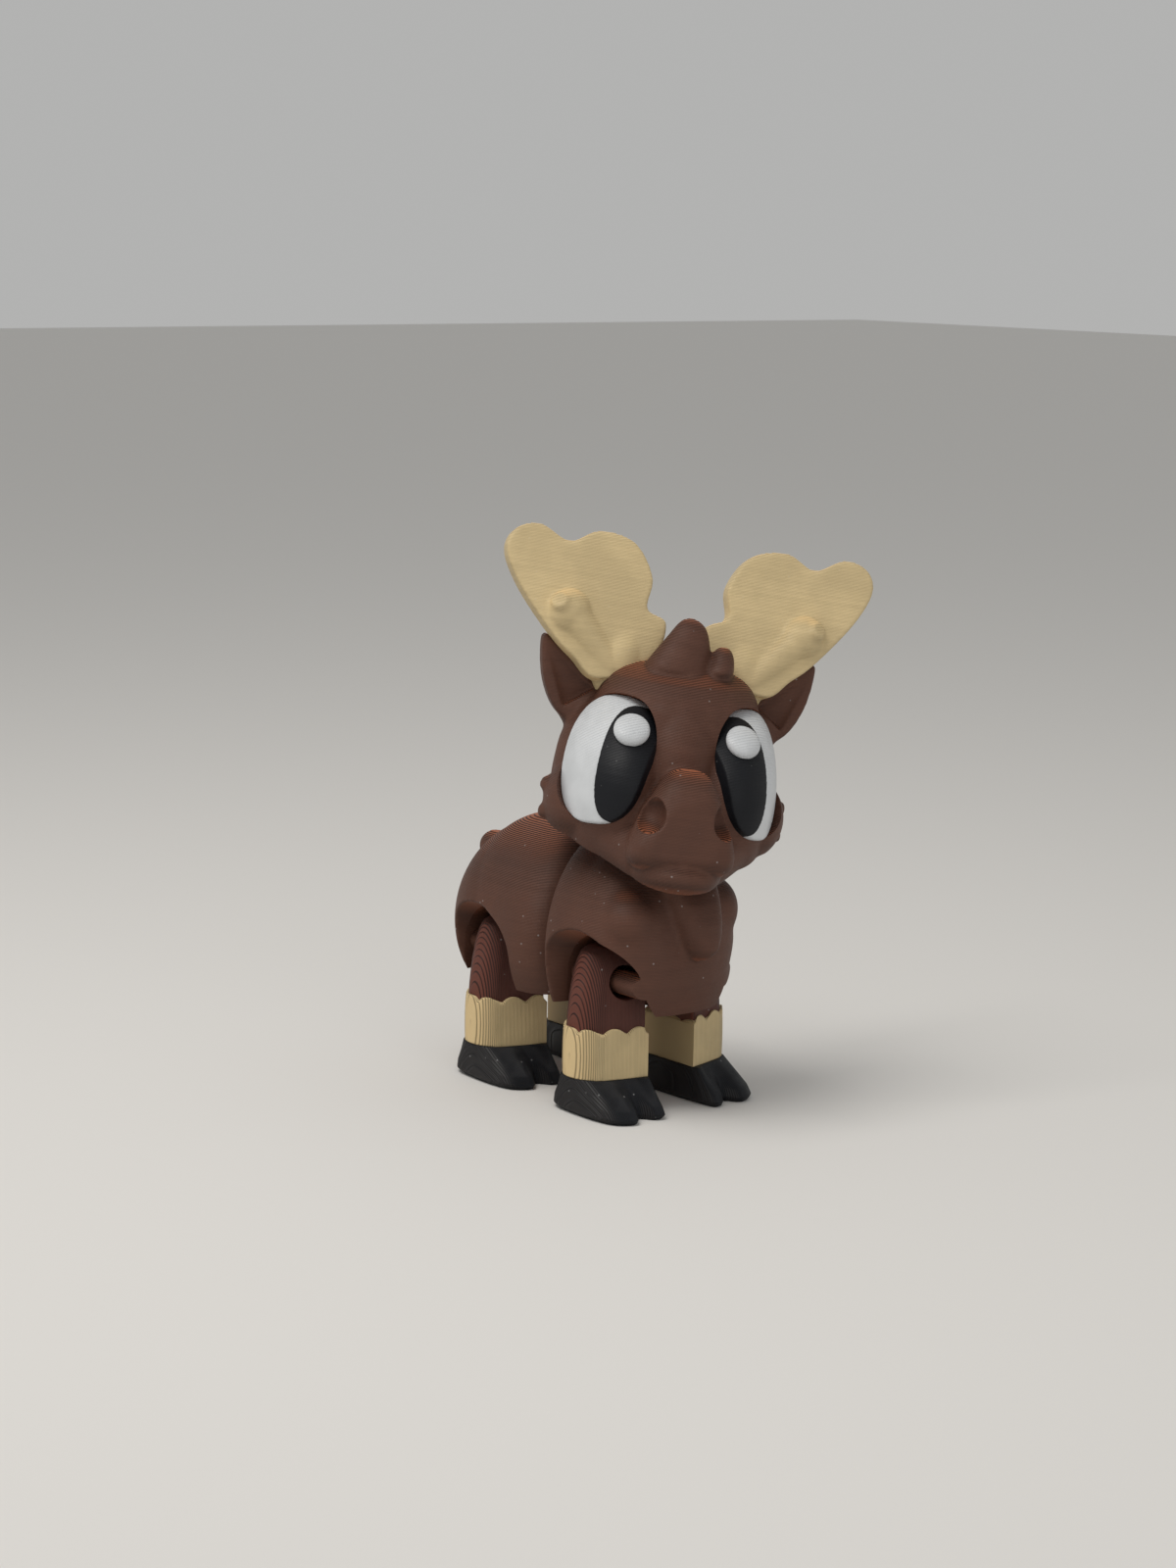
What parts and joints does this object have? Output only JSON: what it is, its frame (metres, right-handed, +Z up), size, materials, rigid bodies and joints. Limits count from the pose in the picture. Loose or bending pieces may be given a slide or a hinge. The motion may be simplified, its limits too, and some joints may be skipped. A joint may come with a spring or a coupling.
{
  "type": "articulated moose figurine",
  "caption": "Articulated plastic moose toy: swivelling head with palmed antlers, bulging eyes, a body split at the spine, and pinned legs that swing outwards.",
  "frame": {"origin": "centre of the bounding box's base, level with the soles of the hooves, in the pictured pose", "axes": "+Z up; the moose's body faces -Y; its right side is -X"},
  "size_m": [0.0546, 0.0662, 0.0955],
  "materials": {
    "brown": "matte brown plastic with fine layer lines",
    "russet": "matte red-brown plastic with fine layer lines",
    "cream": "matte cream plastic with fine layer lines",
    "black": "matte near-black plastic",
    "white": "smooth satin white plastic"
  },
  "bodies": {
    "front_half": {"front_body": "brown"},
    "rear_half": {"rear_body": "brown"},
    "head": {"head": "brown", "antler_left": "cream", "antler_right": "cream", "eye_white_left": "white", "pupil_left": "black", "eye_highlight_left": "white", "eye_white_right": "white", "pupil_right": "black", "eye_highlight_right": "white"},
    "leg_front_right": {"upper_leg_front_right": "russet", "cuff_front_right": "cream", "hoof_front_right": "black"},
    "leg_front_left": {"upper_leg_front_left": "russet", "cuff_front_left": "cream", "hoof_front_left": "black"},
    "leg_rear_right": {"upper_leg_rear_right": "russet", "cuff_rear_right": "cream", "hoof_rear_right": "black"},
    "leg_rear_left": {"upper_leg_rear_left": "russet", "cuff_rear_left": "cream", "hoof_rear_left": "black"}
  },
  "joints": [
    {"name": "neck_turn", "type": "hinge", "parent": "front_half", "child": "head", "pos_m": [-0.01, -0.01506, 0.042], "axis": [0, -0.2334, 0.9724], "range_deg": [-4, 66]},
    {"name": "spine_bend", "type": "hinge", "parent": "front_half", "child": "rear_half", "pos_m": [-0.01, 0.00194, 0.035], "axis": [0, 0, 1], "range_deg": [-4, 8]},
    {"name": "leg_front_right_swing", "type": "hinge", "parent": "front_half", "child": "leg_front_right", "pos_m": [-0.0186, -0.01106, 0.022], "axis": [0, 1, 0], "range_deg": [0, 85]},
    {"name": "leg_front_left_swing", "type": "hinge", "parent": "front_half", "child": "leg_front_left", "pos_m": [-0.0014, -0.01106, 0.022], "axis": [0, -1, 0], "range_deg": [0, 85]},
    {"name": "leg_rear_right_swing", "type": "hinge", "parent": "rear_half", "child": "leg_rear_right", "pos_m": [-0.01812, 0.01573, 0.022], "axis": [0.0349, 0.9994, 0], "range_deg": [0, 85]},
    {"name": "leg_rear_left_swing", "type": "hinge", "parent": "rear_half", "child": "leg_rear_left", "pos_m": [-0.00093, 0.01513, 0.022], "axis": [-0.0349, -0.9994, 0], "range_deg": [0, 85]}
  ]
}
